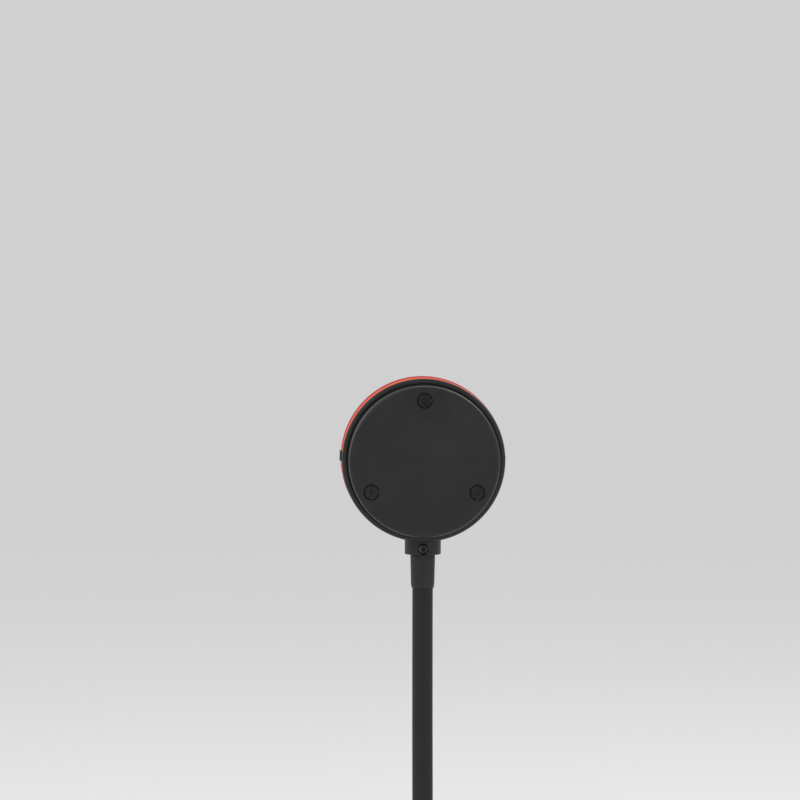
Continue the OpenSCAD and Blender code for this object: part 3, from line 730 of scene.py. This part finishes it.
def make_barrel():
    """The barrel, with three turned grooves, flat seats for the clips and ways for collar and neck."""
    sink_r, _, sink_front = head_span("heat_sink")
    filter_r = head_span("color_filter")[0] + FIT
    ledge_at = 9.5
    groove_depth, groove_half = 0.4, 0.35

    def wall(f):
        """The tapered wall's radius at a distance f forward of the rear rim."""
        return HEAD_R - (HEAD_R - BARREL_FRONT_R) * f / BARREL_L

    outline = [(sink_r + FIT, sink_front, 0.1), (sink_r + FIT, -RIM_ROUND, 0.15)]
    outline += arc(HEAD_R - RIM_ROUND, 0, RIM_ROUND, range(180, 90, -10)) + [(HEAD_R, 0)]
    for f in (3, 6, 9):
        back, front, root = f - groove_half, f + groove_half, wall(f) - groove_depth
        outline += [(wall(back), back, 0.1), (root, back, 0.14)]
        outline += [(root, front, 0.14), (wall(front), front, 0.1)]
    outline += [(BARREL_FRONT_R, BARREL_L, 0.2), (filter_r, BARREL_L, 0.15), (filter_r, ledge_at),
                (BARREL_BORE, ledge_at, 0.1), (BARREL_BORE, sink_front)]
    barrel = lathe("barrel", outline, ON_HEAD, closed=True, seg=192)
    seat_back, seat_front, seat_half = CLIP_FOOT - FIT, BARREL_L + 2, CLIP_W / 2 + FIT
    seat = [(CLIP_SEAT, seat_back, 0.4), (HEAD_R + 2, seat_back), (HEAD_R + 2, seat_front),
            (CLIP_SEAT, seat_front)]
    cutters = [prism("clip_seat", seat, -seat_half, seat_half, side @ STAND) for side in CLIP_SIDES]
    cutters.append(rod("collar_seat", COLLAR_R + FIT, COLLAR_BOTTOM - 1.5, COLLAR_TOP, ON_NECK_TOP, seg=96))
    cutters.append(rod("neck_way", NECK_R + FIT, COLLAR_TOP - 1, HEAD_Z - BARREL_BORE + NECK_R, ON_NECK_TOP))
    part(cut(barrel, *cutters), "head", "head_metal", "housing")


def make_heat_sink():
    """The finned rear of the head, and the three cap screws sunk in it."""
    seat_r, rear, front = head_span("heat_sink")
    fin_r, root_r, fin_pitch, gap = 23, 20.6, 2.125, 0.925
    outline = [(0, front), (seat_r, front, 0.2), (seat_r, -RIM_ROUND, 0.1), (root_r, -RIM_ROUND, 0.2)]
    for k in range(4):
        at = -RIM_ROUND - k * fin_pitch
        if k:
            outline += [(fin_r, at, 0.22), (root_r, at, 0.25)]
        outline += [(root_r, at - gap, 0.25), (fin_r, at - gap, 0.22)]
    outline += [(fin_r, rear, 1.2)] + [(r, rear) for r in (21.6, 15.6, 12, 8, 4, 0)]
    sink = lathe("heat_sink_body", outline, ON_HEAD, seg=192)

    seat, mouth_r, screw_back = rear + 1.6, 2.6, rear + 0.2
    recess_r, beyond_r, beyond = 2.3, 2.85, rear + 0.03
    recess = [(0, rear - 1), (beyond_r, rear - 1), (beyond_r, beyond), (mouth_r, beyond),
              (recess_r, rear + 0.3), (recess_r, seat, 0.2), (0, seat)]
    shank_r, cap_r, tip = 1.25, 2.2, 6
    screw = [(0, tip), (1.0, tip), (shank_r, tip - 0.3), (shank_r, seat), (cap_r, seat, 0.12),
             (cap_r, screw_back, 0.3), (0, screw_back)]
    turns = [math.radians(a) for a in (90, 210, 330)]
    spots = [moved(ON_HEAD, SINK_SCREW_CIRCLE * math.cos(a), SINK_SCREW_CIRCLE * math.sin(a)) for a in turns]
    recesses = [lathe("recess", recess, spot, seg=64) for spot in spots]
    part(cut(sink, *recesses), "head", "head_metal", "heat_sink")
    screws = []
    for spot in spots:
        drive = hex_socket(1.06, -screw_back, 0.75, spot @ turned(180, "X"))
        screws.append(cut(lathe("cap_screw", screw, spot, seg=64), *drive))
    part(joined("cap_screws", *screws), "head", "fastener", "sink_screws")


def make_lens():
    """A clear dome on a flat land, with its rim and the ring behind the land ground rough."""
    rear, bevel, steps = LENS_BACK + 0.06, 0.3, 28
    base = LENS_R - LENS_LAND
    ball = (base ** 2 + DOME_H ** 2) / (2 * DOME_H)
    turns = [math.asin(base / ball) * (1 - k / steps) for k in range(1, steps)]
    dome = [(ball * math.sin(a), LENS_TIP - ball + ball * math.cos(a)) for a in turns] + [(0, LENS_TIP)]
    outline = [(0, rear), (base, rear), (LENS_R - bevel, rear), (LENS_R, rear + bevel, 0.1),
               (LENS_R, LENS_FRONT - bevel, 0.1), (LENS_R - bevel, LENS_FRONT, 0.1), (base, LENS_FRONT)]
    lens = lathe("lens_body", outline + dome, ON_HEAD, seg=192, sharp=20)
    lens.data.materials.append(MATERIALS["lens_glass"])
    lens.data.materials.append(MATERIALS["lens_edge_painted_glow"])
    # The ground faces take the edge material, whose emission is a painted glow.
    for face in lens.data.polygons:
        middle = face.center / MM
        face.material_index = 1 if math.hypot(middle.x, middle.y) > base else 0
    part(lens, "head", "lens_glass", "lens")


def make_optics():
    """The colour filter, its gasket, and the thermal pad behind the emitter's board."""
    r, back, front = head_span("color_filter")
    back, front = back + 0.02, front - 0.03
    glass = lathe("sunset_filter", [(0, back), (r, back, 0.1), (r, front, 0.1), (0, front)], ON_HEAD)
    part(glass, "head", "filter_glass", "color_filter")
    r, back, front = head_span("filter_gasket")
    bore = r - 1.3
    outline = [(bore, back, 0.2), (r, back, 0.2), (r, front, 0.2), (bore, front, 0.2)]
    part(lathe("gasket", outline, ON_HEAD, closed=True), "head", "gasket_rubber", "filter_gasket")
    r, back, front = head_span("thermal_pad")
    pad = lathe("pad", [(0, back), (r, back, 0.1), (r, front, 0.1), (0, front)], ON_HEAD, seg=96)
    part(pad, "head", "thermal", "thermal_pad")


def make_clips():
    """Two sprung clips from the barrel over the lens's land, each held by a cross-head screw."""
    gap, lip, jog_back, jog_front, screw_at = 0.03, 1.3, 9, 11, 6.2
    inner = LENS_R + gap
    outer = inner + CLIP_T
    hook = LENS_FRONT + gap
    seat_out = CLIP_SEAT + CLIP_T
    outline = [(CLIP_SEAT, CLIP_FOOT, 0.1), (CLIP_SEAT, jog_back, 1.0), (inner, jog_front, 1.0),
               (inner, hook), (LENS_R - lip, hook), (LENS_R - lip, hook + CLIP_T, 0.12),
               (outer, hook + CLIP_T, 0.34), (outer, jog_front - CLIP_T / 2, 1.2),
               (seat_out, jog_back - CLIP_T / 2, 1.2), (seat_out, CLIP_FOOT, 0.1)]
    tip, shank_r, cap_r, top = 21.8, 0.8, 1.25, seat_out + 0.5
    screw = [(0, tip), (shank_r, tip), (shank_r, seat_out), (cap_r, seat_out, 0.08), (cap_r, top, 0.28),
             (0, top + 0.02)]
    clips, screws = [], []
    for side in CLIP_SIDES:
        clips.append(prism("clip", outline, -CLIP_W / 2, CLIP_W / 2, side @ STAND, edge=0.06))
        out = moved(side, z=screw_at) @ turned(90, "Y")
        bars = [prism("bar", rectangle(0.72, 0.13), top - 0.28, top + 0.5, out @ turned(a, "Z"))
                for a in (20, 110)]
        screws.append(cut(lathe("clip_screw", screw, out, seg=48), *bars))
    part(joined("lens_clip_pair", *clips), "head", "clip_steel", "lens_clips")
    part(joined("clip_screw_pair", *screws), "head", "fastener", "clip_screws")


def make_collar():
    """The collar under the head, and the grub screw in its rear that clamps the neck."""
    top = COLLAR_TOP - 0.02
    outline = [(BOOT_BORE, COLLAR_BOTTOM, 0.1), (COLLAR_R, COLLAR_BOTTOM, 0.35), (COLLAR_R, top, 0.1),
               (BOOT_BORE, top)]
    collar = lathe("neck_collar", outline, ON_NECK_TOP, closed=True)
    out = moved(ON_NECK_TOP, z=COLLAR_BOTTOM + 1.9) @ turned(-90, "X")
    way_r, mouth_r, beyond = 1.5, 1.8, 7
    way = [(0, 0), (way_r, 0), (way_r, COLLAR_R - 0.35), (mouth_r, COLLAR_R), (mouth_r, beyond), (0, beyond)]
    part(cut(collar, lathe("grub_way", way, out, seg=48)), "head", "head_metal", "collar")
    inner, outer, grub_r = NECK_R + FIT, COLLAR_R - 0.3, 1.42
    outline = [(0, inner), (1.1, inner), (grub_r, inner + 0.25), (grub_r, outer - 0.15), (1.2, outer),
               (0, outer)]
    grub = cut(lathe("grub_screw", outline, out, seg=48), *hex_socket(0.68, outer, 1.0, out))
    part(grub, "head", "fastener", "collar_screw")


def make_boot(name, place, seat, end, body, node):
    """A soft boot that narrows from its seat to its end, where it closes on the neck."""
    way = 1 if end > seat else -1
    outline = [(BOOT_BORE, seat), (BOOT_R, seat, 0.15), (BOOT_TIP_R, end - 1.2 * way, 0.5),
               (BOOT_BORE + 0.15, end, 0.08), (BOOT_BORE, end)]
    part(lathe(name, outline, place, closed=True, seg=96), body, "boot", node)


# --- Neck ---

# The red lead's way up from the control board, and from the neck to the emitter's board
PAD_Y = HEAD_Y - 4.45
LEAD_IN_BASE = [(2.5, 21, 8.15), (2.5, 18, 8.15), (2.0, 14.04, 8.15), (1.2, 8.0, 7.75), (0.55, 2.93, 7.55),
                (0.55, 0.98, 8.4), (0.55, 0, 10.2), (0.55, 0, 18), (0.55, 0, 24)]
LEAD_IN_HEAD = [(0.55, NECK_Y, 203), (0.55, NECK_Y, HEAD_Z - 21.8), (0.55, NECK_Y, HEAD_Z - 19.8),
                (1.525, (NECK_Y + PAD_Y) / 2, HEAD_Z - 17.4), (2.5, PAD_Y, HEAD_Z - 13.8),
                (2.5, PAD_Y, HEAD_Z - 11.4)]


def column(y, levels):
    return [Vector((0, y, z)) for z in levels]


# Where sleeve and hose go on straight, into the base's ferrule and into the head's
SLEEVE_FOOT = column(0, (24.1, 25.5, 27.2))
SLEEVE_TOP = column(NECK_Y, (198, 199.6, 201.1))
HOSE_FOOT = column(0, [14.1 + 0.2 * i for i in range(74)])
HOSE_TOP = column(NECK_Y, [196.2 + 0.2 * i for i in range(72)])


def through(points):
    """A smooth line through the points."""
    steps = 6
    out = []
    for i in range(len(points) - 1):
        a, b = points[i], points[i + 1]
        before = points[i - 1] if i else a
        after = points[i + 2] if i + 2 < len(points) else b
        for k in range(steps):
            t = k / steps
            out.append(0.5 * ((2 * a) + (b - before) * t + (2 * before - 5 * a + 4 * b - after) * t * t
                              + (3 * a - before - 3 * b + after) * t ** 3))
    return out + [points[-1]]


def lead_way(points, side):
    """The red lead's way, or mirrored in X the black lead's."""
    return through([Vector((x * side, y, z)) for x, y, z in points])


def bend(a, hinge, b, steps):
    """A curve from a to b that would meet at the hinge if both ends ran on straight."""
    shares = [i / steps for i in range(steps + 1)]
    return [a * (1 - t) ** 2 + hinge * 2 * t * (1 - t) + b * t * t for t in shares]


def hose_radius(far, turn):
    """The wound hose's radius, with a groove that runs once round it in each pitch."""
    pitch, depth = 1.7, 0.22
    phase = 2 * math.pi * (far / pitch - turn)
    return HOSE_R - depth * (0.5 - 0.5 * math.cos(phase)) ** 2


def tube(name, path, outer, inner, sides, start=0.0):
    """A closed tube along the path, and the distance along at its end.

    outer may be a function of the distance along and the share of a turn."""
    last = len(path) - 1
    far = [start]
    for a, b in zip(path, path[1:]):
        far.append(far[-1] + (b - a).length)

    def ring(i, radius):
        ahead = (path[min(i + 1, last)] - path[max(i - 1, 0)]).normalized()
        u = (Vector((1, 0, 0)) - ahead * ahead.x).normalized()
        v = ahead.cross(u)
        out = []
        for k in range(sides):
            a = 2 * math.pi * k / sides
            r = radius(far[i], k / sides) if callable(radius) else radius
            out.append(path[i] + (u * math.cos(a) + v * math.sin(a)) * r)
        return out

    rows = [ring(i, outer) for i in range(last + 1)]
    if inner:
        rows += [ring(i, inner) for i in reversed(range(last + 1))]
    count = len(rows)
    faces = []
    for i in range(count if inner else count - 1):
        a, b = i * sides, (i + 1) % count * sides
        faces += [(a + k, a + (k + 1) % sides, b + (k + 1) % sides, b + k) for k in range(sides)]
    if not inner:
        faces += [tuple(reversed(range(sides))), tuple((count - 1) * sides + k for k in range(sides))]
    return mesh(name, [v for row in rows for v in row], faces, sharp=50), far[-1]


def make_neck():
    """Sleeve, hose and leads, in one stretch for each hinge, curved through the hinge from mid-link to
    mid-link.
    """
    joints = [j for j in frame["record"]["behaviour"]["joints"] if j["type"] == "hinge"]
    hinges = [Vector(j["pos_m"]) / MM for j in joints]
    end = Vector((0, 0, HALF_LINK))
    mids = [hinges[0] - end] + [(a + b) / 2 for a, b in zip(hinges, hinges[1:])] + [hinges[-1] + end]
    wound = 0.0
    for k, (a, hinge, b) in enumerate(zip(mids, hinges, mids[1:]), 1):
        first, last = k == 1, k == len(hinges)
        links = [k, k + 1] if last else [k]
        coarse, fine = bend(a, hinge, b, 20), bend(a, hinge, b, 80)
        path = (SLEEVE_FOOT if first else []) + coarse + (SLEEVE_TOP if last else [])
        sleeve, _ = tube(f"sleeve_bend_{k:02d}", path, NECK_R, NECK_R - SLEEVE_WALL, 48)
        path = (HOSE_FOOT if first else []) + fine + (HOSE_TOP if last else [])
        hose, wound = tube(f"hose_bend_{k:02d}", path, hose_radius, HOSE_BORE, 24, wound)
        pieces = [(sleeve, "sleeve", [f"neck_sleeve_{n:02d}" for n in links]),
                  (hose, "hose_steel", [f"neck_hose_{n:02d}" for n in links])]
        for color, side in (("red", 1), ("black", -1)):
            path = [p + Vector((LEAD_SIDE * side, 0, 0)) for p in coarse]
            path = (lead_way(LEAD_IN_BASE, side) if first else []) + path
            path = path + (lead_way(LEAD_IN_HEAD, side) if last else [])
            lead, _ = tube(f"lead_{color}_bend_{k:02d}", path, LEAD_R, 0, 12)
            pieces.append((lead, "lead_insulation_" + color, ["lead_" + color]))
        for obj, slot, nodes in pieces:
            obj.data.materials.append(MATERIALS[slot])
            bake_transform(obj)
            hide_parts(*nodes)


# --- Foot of the neck, and base ---

def make_ferrule():
    """A flanged ferrule on the cover, with a threaded shank below it for the nut."""
    _, bottom, top = upright_span("lower_ferrule")
    flange_r, flange_top, thread_r, pitch = 6.5, 21, 3.62, 0.75
    crest_r = SHANK_R - 0.01
    bore, socket_r, socket_floor = HOSE_BORE + FIT, HOSE_R + FIT / 2, BASE_TOP - 4
    outline = [(bore, bottom, 0.1), (SHANK_R - 0.3, bottom, 0.2)]
    for k in range(10):
        z = bottom + 0.3 + pitch * k
        outline += [(SHANK_R, z), (crest_r, z + 0.12), (thread_r, z + 0.37)]
    outline += [(crest_r, BASE_TOP - 0.3), (crest_r, BASE_TOP), (flange_r, BASE_TOP, 0.12),
                (flange_r, flange_top, 0.8), (BOOT_R - FIT / 2, flange_top), (NECK_R, flange_top),
                (NECK_R, top, 0.2), (socket_r, top, 0.2), (socket_r, socket_floor), (bore, socket_floor)]
    part(lathe("neck_ferrule", outline, closed=True), "base", "head_metal", "lower_ferrule")


def boss(x, y, bore, r, bottom):
    """A screw boss that hangs from the cover's ceiling."""
    top = CEILING + FIT
    outline = [(bore, bottom), (r, bottom, 0.2), (r, top), (bore, top)]
    return lathe("boss", outline, moved(ON_AXIS, x, y), closed=True, seg=48)


def make_cover():
    """The base's cover, with its ways for neck, button and socket, and the bosses inside it."""
    edge_at = BASE_R - BASE_EDGE_R
    inner_edge = BASE_EDGE_R - BASE_WALL
    neck_way = SHANK_R + FIT
    outline = [(BASE_R - BASE_WALL, SKIRT, 0.25), (BASE_R, SKIRT, 0.35)]
    outline += arc(edge_at, BASE_TOP - BASE_EDGE_R, BASE_EDGE_R, range(90, -1, -6))
    outline += [(neck_way, BASE_TOP, 0.1), (neck_way, CEILING)]
    outline += arc(edge_at, CEILING - inner_edge, inner_edge, range(0, 91, 10))
    shell = lathe("base_shell", outline, closed=True, seg=256)

    slot = prism("socket_way", stadium(SOCKET_W + 0.3, SOCKET_H + 0.3), 2, 12, ON_SOCKET)
    hole_r = BUTTON_R + FIT
    mouth_r, below, beyond = hole_r + 0.3, BASE_TOP - 3, BASE_TOP + 1
    hole = [(0, below), (hole_r, below), (hole_r, BASE_TOP - 0.25), (mouth_r, BASE_TOP + 0.05),
            (mouth_r, beyond), (0, beyond)]
    shell = cut(shell, slot, lathe("button_way", hole, ON_BUTTON, seg=96))

    screw_circle = BASE_R - 8
    corners = [math.radians(a) for a in (45, 135, 225, 315)]
    bosses = [boss(screw_circle * math.cos(a), screw_circle * math.sin(a), 1.55, 3, 3.5) for a in corners]
    bosses += [boss(x, 22.3, 0.95, 2.2, 7.6) for x in (9.2, -9.2)]
    part(joined("base_shell", shell, *bosses), "base", "base_coat", "base_cover")


def make_foot():
    """The rubber foot, with six shallow grooves round its underside."""
    foot_r, foot_t, groove_depth = 40.3, 2, 0.35
    outline = [(0, foot_t), (foot_r, foot_t, 0.3), (foot_r, 0, 0.45)]
    for k in range(6):
        r = 37.6 - 2.4 * k
        outline += [(r, 0, 0.12), (r - 0.15, groove_depth, 0.1), (r - 1.05, groove_depth, 0.1),
                    (r - 1.2, 0, 0.12)]
    part(lathe("foot_ring", outline + [(0, 0)], seg=192), "base", "foot_rubber", "foot_pad")


def make_button():
    """A dished cap, with a flange that keeps it in the cover and a stem down to the switch."""
    flange_r, bottom, top = upright_span("button")
    stem_r, flange_bottom, flange_top = 1.6, 14.75, 15.75
    outline = [(0, top - 0.18), (2.6, top - 0.14), (3.6, top - 0.03), (3.95, top), (BUTTON_R, top, 0.6),
               (BUTTON_R, flange_top), (flange_r, flange_top, 0.1), (flange_r, flange_bottom, 0.1),
               (stem_r, flange_bottom), (stem_r, bottom, 0.1), (0, bottom)]
    part(lathe("button_cap", outline, ON_BUTTON, seg=96), "button", "button_plastic", "button")


def make_socket():
    """The power socket: a steel shell round a plastic tongue with contacts on both its faces."""
    mouth_wall, tongue_half = 0.3, 0.35
    inside = stadium(SOCKET_W - 2 * mouth_wall, SOCKET_H - 2 * mouth_wall)
    shell = prism("socket_shell", stadium(SOCKET_W, SOCKET_H), 0, SOCKET_L, ON_SOCKET, edge=0.08)
    shell = cut(shell, prism("inside", inside, 1.2, 9, ON_SOCKET))
    for slot in ("plain_steel", "contacts", "chip_plastic"):
        shell.data.materials.append(MATERIALS[slot])
    tongue = prism("tongue", rectangle(3.35, tongue_half, r=0.12), 1.15, 5.8, ON_SOCKET, edge=0.1)
    strips = [prism("strip", rectangle(0.15, 0.02, k - 2.5, face * tongue_half), 2.6, 5.5, ON_SOCKET)
              for face in (1, -1) for k in range(6)]
    for obj, index in [(tongue, 2)] + [(strip, 1) for strip in strips]:
        for face in obj.data.polygons:
            face.material_index = index
    part(joined("usb_socket", shell, tongue, *strips), "base", "plain_steel", "power_socket")


# The CAD nodes that stay, by the slot that each takes its material from
KEPT = {
    "plain_steel": ["led_screws", "upper_ferrule", "neck_washer", "neck_nut", "base_plate", "base_screws",
                    "board_screws"],
    "chip_plastic": ["board_parts", "switch"],
    "led_laminate": ["led_board"],
    "laminate": ["control_board"],
    "phosphor": ["led_emitter"],
    "baffle_plastic": ["baffle"],
    "iron": ["ballast"],
}


def dress_kept_nodes():
    for slot, names in KEPT.items():
        for name in names:
            node = frame["nodes"][name]
            if not node.data.materials:
                node.data.materials.append(MATERIALS[slot])
            for held in node.material_slots:
                held.material = MATERIALS[slot]


bpy.context.scene.view_settings.view_transform = "Standard"
make_camera()
make_world()
make_floor()
make_lamps()
make_barrel()
make_heat_sink()
make_lens()
make_optics()
make_clips()
make_collar()
make_boot("neck_boot_upper", ON_NECK_TOP, COLLAR_BOTTOM, upright_span("upper_boot")[1], "head", "upper_boot")
make_neck()
make_boot("neck_boot_lower", ON_AXIS, *upright_span("lower_boot")[1:], "base", "lower_boot")
make_ferrule()
make_cover()
make_foot()
make_button()
make_socket()
dress_kept_nodes()
